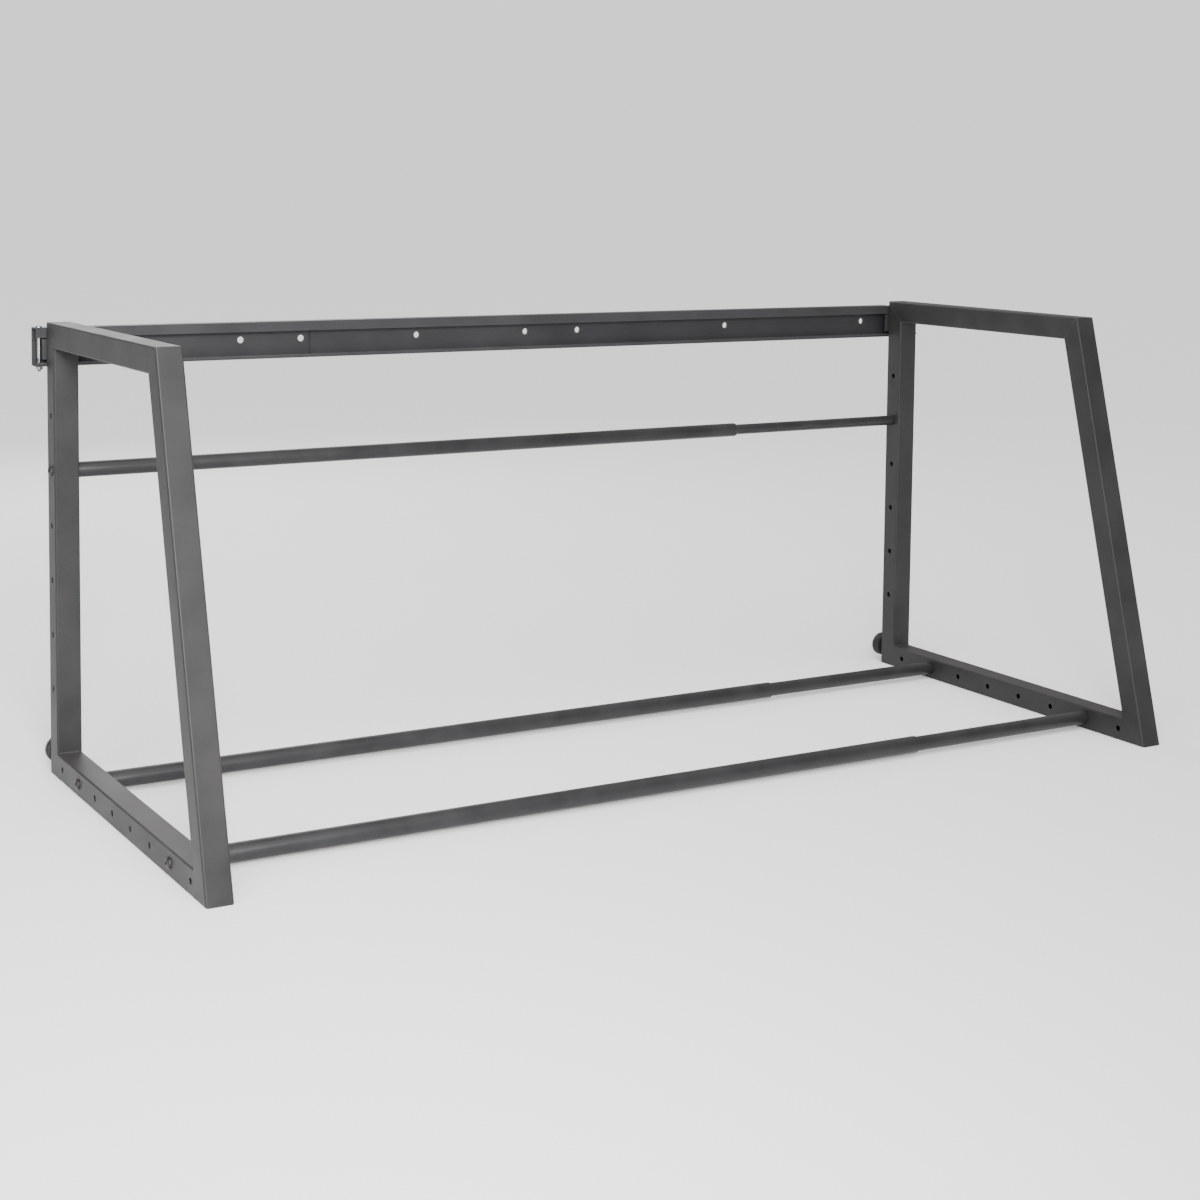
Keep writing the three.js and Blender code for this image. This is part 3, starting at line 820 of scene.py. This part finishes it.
tubeBolts()
for side in sides:
    upperPlug = tubePlug("upper_rear", side)
    rearPlug = tubePlug("lower_rear", side)
    rearNode, frontNode = f"lower_rear_{side}_plug", f"lower_front_{side}_plug"
    frontPlug = copied(rearPlug, f"{frontNode}_turned", rearNode, frontNode)
    shown(upperPlug, f"{side}_half", "black_oxide", [f"upper_rear_{side}_plug"])
    shown(rearPlug, f"{side}_half", "black_oxide", [rearNode])
    shown(frontPlug, f"{side}_half", "black_oxide", [frontNode])
print("tube bolts and plugs made")


# Bolt across the rail's left end, with its nut below

def hexNut(name, low, high, bore):
    centre = (low + high) / 2
    height = high.z - low.z
    across = (high.y - low.y) / 2
    nut = hexCutter(across, height, centre, axisZ)
    nut.name = name
    nut.data.name = name
    corner = across / math.cos(math.pi / 6)
    rim = height * 0.16
    disc = turned("cutter", [(0, 0), (across * 0.97, 0), (corner, rim), (corner, height - rim),
                             (across * 0.97, height), (0, height)],
                      Vector((centre.x, centre.y, low.z)), axisZ)
    carve(nut, disc, "INTERSECT")
    carve(nut, drills([(centre, axisZ, bore, 2 * height)]))
    return nut


def railStopBolt():
    bolt = stopBolt
    low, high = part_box("rail_stop_bolt")
    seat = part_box("outer_rail")[1].z + bolt["gap"]
    boltX, boltY = boltMiddle.x, boltMiddle.y
    profile = [(0, low.z)]
    profile += threadProfile(bolt["root"], bolt["shank"], bolt["pitch"], low.z, bolt["thread"])
    profile += [(bolt["shank"], low.z + bolt["thread"] + bolt["pitch"]), (bolt["shank"], seat)]
    profile += domeProfile(bolt["head"], bolt["headHeight"], seat, 6)
    piece = turned("rail_stop_bolt_rolled", profile, Vector((boltX, boltY, 0)), axisZ)
    carve(piece, hexCutter(bolt["socket"], 2 * bolt["socketDepth"], Vector((boltX, boltY, high.z)), axisZ))
    shaded(piece)
    shown(piece, "left_half", "zinc_plate", ["rail_stop_bolt"])
    nutLow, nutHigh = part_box("rail_stop_nut")
    nut = hexNut("rail_stop_nut_pressed", nutLow, nutHigh, railShape["boltHole"])
    shaded(nut)
    shown(nut, "left_half", "zinc_plate", ["rail_stop_nut"])


railStopBolt()


# Brackets behind the uprights, and their countersunk screws
bracketShape = {"plate": 5.4 * mm, "stem": 16 * mm, "edge": 0.8 * mm, "bore": 3.2 * mm, "recess": 6.3 * mm,
                "recessDepth": 1.5 * mm, "spread": 9 * mm}
screwShape = {"shank": 2.9 * mm, "root": 2.3 * mm, "pitch": 1 * mm, "head": 6 * mm, "cone": 3 * mm,
              "slot": 1.3 * mm, "slotLength": 6 * mm, "slotDepth": 1.6 * mm}


def railBracket(side):
    shape = bracketShape
    node = f"{side}_rail_bracket"
    low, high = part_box(node)
    centre = (low + high) / 2
    plateBack = low.y + shape["plate"]
    bpy.ops.object.select_all(action="DESELECT")
    bpy.ops.mesh.primitive_cube_add(size=1, location=(centre.x, (low.y + plateBack) / 2, centre.z),
                                    scale=(high.x - low.x, shape["plate"], high.z - low.z))
    piece = named(f"{node}_pressed")
    for sign in (-1, 1):
        pick(piece, "FACE", lambda face: True)
        bpy.ops.mesh.bisect(plane_co=(centre.x + sign * shape["stem"] / 2, 0, 0), plane_no=(1, 0, 0))
        objectMode()
    pick(piece, "FACE", lambda face: face.normal.y > 0.9
         and abs(face.calc_center_median().x - centre.x) < shape["stem"] / 2)
    bpy.ops.mesh.extrude_region_move(TRANSFORM_OT_translate={"value": (0, high.y - plateBack, 0)})
    objectMode()
    modify(piece, "BEVEL", width=shape["edge"], segments=2, limit_method="ANGLE")
    heights = [centre.z + sign * shape["spread"] for sign in (-1, 1)]
    holes = [(Vector((centre.x, centre.y, z)), axisY, shape["bore"], 2 * (high.y - low.y)) for z in heights]
    carve(piece, drills(holes))
    recesses = [(Vector((centre.x, high.y, z)), axisY, shape["recess"], 2 * shape["recessDepth"])
                for z in heights]
    carve(piece, drills(recesses))
    shaded(piece, flatFaces=True)
    shown(piece, f"{side}_half", "frame_coat", [node])


def bracketScrews():
    shape = screwShape
    first = "left_bracket_screw_1"
    low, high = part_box(first)
    centre = (low + high) / 2
    length = high.y - low.y
    cone = length - shape["cone"]
    profile = [(0, 0)]
    profile += threadProfile(shape["root"], shape["shank"], shape["pitch"], 0.2 * mm, cone - shape["pitch"])
    profile += [(shape["shank"], cone), (shape["head"] - 0.1 * mm, length - 0.3 * mm),
                (shape["head"] - 0.1 * mm, length - 0.1 * mm), (shape["head"] - 0.3 * mm, length),
                (0, length)]
    piece = turned(f"{first}_plated", profile, Vector((centre.x, low.y, centre.z)), axisY, 32)
    for turn in (0, quarterTurn):
        bpy.ops.object.select_all(action="DESELECT")
        bpy.ops.mesh.primitive_cube_add(size=1, location=(centre.x, high.y, centre.z), rotation=(0, turn, 0),
                                        scale=(shape["slotLength"], 2 * shape["slotDepth"], shape["slot"]))
        carve(piece, named("cutter"))
    shaded(piece)
    for side in sides:
        for number in (1, 2):
            node = f"{side}_bracket_screw_{number}"
            part = piece if node == first else copied(piece, f"{node}_plated", first, node)
            shown(part, f"{side}_half", "zinc_plate", [node])


for side in sides:
    railBracket(side)
bracketScrews()
print("brackets, screws and stop bolt made")


# Wall feet
knobShape = {"ribs": 36, "ribDepth": 1.9 * mm, "edge": 0.9 * mm, "rim": 4.5 * mm, "dish": 1.2 * mm,
             "hub": 9 * mm, "stud": 5.1 * mm, "studDepth": 12.3 * mm}
studShape = {"root": 4.15 * mm, "crest": 4.8 * mm, "pitch": 1.5 * mm}
insertShape = {"bore": 5.1 * mm, "body": 6.3 * mm, "flange": 8.5 * mm, "flangeHeight": 1.2 * mm}


def footKnob():
    shape = knobShape
    low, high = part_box("left_foot_knob")
    centre = (low + high) / 2
    radius = (high.x - low.x) / 2
    bpy.ops.object.select_all(action="DESELECT")
    bpy.ops.mesh.primitive_cylinder_add(vertices=4 * shape["ribs"], radius=radius, depth=high.y - low.y,
                                        location=centre, rotation=(quarterTurn, 0, 0))
    knob = named("left_foot_knob_moulded")

    def fromAxis(vert):
        return math.hypot(vert.co.x - centre.x, vert.co.z - centre.z)

    def inGroove(vert):
        turn = math.atan2(vert.co.z - centre.z, vert.co.x - centre.x) / (2 * math.pi)
        onRim = fromAxis(vert) > radius - shape["edge"] - 0.01 * mm
        return onRim and round(turn * 4 * shape["ribs"]) % 4 < 2
    # the round rim and the dished ends first, then the grip grooves pressed into the rim
    pick(knob, "EDGE", lambda edge: abs(edge.verts[0].co.y - edge.verts[1].co.y) < 0.01 * mm)
    bpy.ops.mesh.bevel(offset=shape["edge"], segments=3, affect="EDGES")
    objectMode()
    pick(knob, "FACE", lambda face: abs(face.normal.y) > 0.99 and len(face.verts) > 8)
    bpy.ops.mesh.inset(thickness=shape["rim"])
    bpy.ops.mesh.inset(thickness=shape["dish"], depth=-shape["dish"])
    bpy.ops.mesh.inset(thickness=radius - shape["rim"] - shape["dish"] - shape["hub"] - shape["edge"])
    bpy.ops.mesh.inset(thickness=shape["dish"] / 2, depth=shape["dish"] * 0.8)
    objectMode()
    pick(knob, "VERT", inGroove)
    shrink = 1 - shape["ribDepth"] / radius
    bpy.ops.transform.resize(value=(shrink, 1, shrink), center_override=centre)
    objectMode()
    bore = [(Vector((centre.x, low.y, centre.z)), axisY, shape["stud"], 2 * shape["studDepth"])]
    carve(knob, drills(bore))
    shaded(knob)
    return knob


def footStud():
    shape = studShape
    low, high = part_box("left_foot_stud")
    centre = (low + high) / 2
    length = high.y - low.y
    threads = threadProfile(shape["root"], shape["crest"], shape["pitch"], 0.3 * mm, length - shape["pitch"])
    profile = [(0, 0), *threads, (shape["root"], length - 0.3 * mm), (0, length)]
    piece = turned("left_foot_stud_rolled", profile, Vector((centre.x, low.y, centre.z)), axisY, 40)
    shaded(piece)
    return piece


def footInsert():
    shape = insertShape
    low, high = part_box("left_foot_nut")
    centre = (low + high) / 2
    length = high.y - low.y
    shoulder = length - shape["flangeHeight"]
    profile = [
        (shape["bore"], 0), (shape["body"] - 0.5 * mm, 0),
        (shape["body"], 0.5 * mm), (shape["body"], shoulder),
        (shape["flange"] - 0.2 * mm, shoulder), (shape["flange"], shoulder + 0.3 * mm),
        (shape["flange"], length - 0.4 * mm), (shape["flange"] - 0.5 * mm, length),
        (shape["bore"] + 0.5 * mm, length), (shape["bore"], length - 0.5 * mm), (shape["bore"], 0),
    ]
    piece = turned("left_foot_nut_swaged", profile, Vector((centre.x, low.y, centre.z)), axisY, 48)
    shaded(piece)
    return piece


footParts = [
    (footKnob(), "foot_knob", "foot_wheel", "knob_nylon"),
    (footStud(), "foot_stud", "foot_screw", "zinc_plate"),
    (footInsert(), "foot_nut", "half", "zinc_plate"),
]
for leftPart, node, body, slotName in footParts:
    rightPart = copied(leftPart, leftPart.name.replace("left", "right"), f"left_{node}", f"right_{node}")
    shown(leftPart, f"left_{body}", slotName, [f"left_{node}"])
    shown(rightPart, f"right_{body}", slotName, [f"right_{node}"])
print("wall feet made")


# Floor, light and camera
studio = {
    "floor": "#f8f8f7", "floorSize": 80, "world": "#ffffff", "ambient": 0.5, "backdrop": 1.22,
    "sun": {"from": (-0.32, -0.55, 1.0), "angle": 60, "power": 3.2},
    "key": {"place": (-1.6, -3.1, 1.5), "aim": (-0.9, -0.3, 0.35), "size": 1.0, "spread": 80, "power": 50},
    "fill": {"place": (0.6, -4.6, 2.2), "aim": (0, 0, 0.35), "size": 2.6, "spread": 180, "power": 25},
    "rim": {"place": (0.2, 3.4, 2.2), "aim": (0, 0, 0.35), "size": 2.6, "spread": 180, "power": 50},
}
cameraPlace = {
    "stand": (-1.8000, -2.9761, 0.9650), "yaw": 30.355, "pitch": 4.622, "roll": 0.617,
    "lens": 63.216, "shiftY": -0.2083,
}


def paleFloor():
    bpy.ops.object.select_all(action="DESELECT")
    bpy.ops.mesh.primitive_plane_add(size=studio["floorSize"], location=(0, 0, 0))
    floor = named("floor")
    material = newMaterial("paintedStudioFloor")
    place = addNode(material, "ShaderNodeTexCoord")
    marks = addNode(material, "ShaderNodeTexNoise", {"Vector": place.outputs["Object"]}, Scale=perMetre(0.4))
    gloss = addNode(material, "ShaderNodeMapRange", {"Value": marks.outputs["Fac"]}, To_Min=0.75, To_Max=0.9)
    shader = addNode(material, "ShaderNodeBsdfPrincipled", {"Roughness": gloss.outputs[0]})
    shader.inputs["Base Color"].default_value = linear(studio["floor"])
    addNode(material, "ShaderNodeOutputMaterial", {"Surface": shader.outputs[0]})
    floor.data.materials.append(material)


def areaLight(name, look):
    data = bpy.data.lights.new(name, "AREA")
    data.shape = "DISK"
    data.size = look["size"]
    data.energy = look["power"]
    data.spread = math.radians(look["spread"])
    light = bpy.data.objects.new(name, data)
    light.location = look["place"]
    light.rotation_euler = (Vector(look["aim"]) - Vector(look["place"])).to_track_quat("-Z", "Y").to_euler()
    light.visible_camera = False
    bpy.context.scene.collection.objects.link(light)


def paleWorld():
    world = bpy.data.worlds.new("studio")
    world.use_nodes = True
    background = world.node_tree.nodes["Background"]
    background.inputs["Color"].default_value = linear(studio["world"])
    seen = addNode(world, "ShaderNodeLightPath")  # the backdrop is seen brighter than it lights
    strength = addNode(world, "ShaderNodeMapRange", {"Value": seen.outputs["Is Camera Ray"]},
                       To_Min=studio["ambient"], To_Max=studio["backdrop"])
    world.node_tree.links.new(strength.outputs[0], background.inputs["Strength"])
    bpy.context.scene.world = world


def sunLight():
    look = studio["sun"]
    data = bpy.data.lights.new("sun", "SUN")
    data.angle = math.radians(look["angle"])
    data.energy = look["power"]
    light = bpy.data.objects.new("sun", data)
    light.rotation_euler = Vector(look["from"]).to_track_quat("Z", "Y").to_euler()
    bpy.context.scene.collection.objects.link(light)


def standCamera():
    look = cameraPlace
    data = bpy.data.cameras.new("camera")
    data.lens = look["lens"]
    data.shift_y = look["shiftY"]
    camera = bpy.data.objects.new("camera", data)
    camera.location = look["stand"]
    turn = (Matrix.Rotation(-math.radians(look["yaw"]), 3, "Z")
            @ Matrix.Rotation(quarterTurn - math.radians(look["pitch"]), 3, "X")
            @ Matrix.Rotation(math.radians(look["roll"]), 3, "Z"))
    camera.rotation_euler = turn.to_euler()
    bpy.context.scene.collection.objects.link(camera)
    bpy.context.scene.camera = camera


paleFloor()
paleWorld()
sunLight()
areaLight("key", studio["key"])
areaLight("fill", studio["fill"])
areaLight("rim", studio["rim"])
standCamera()
print("stage set")
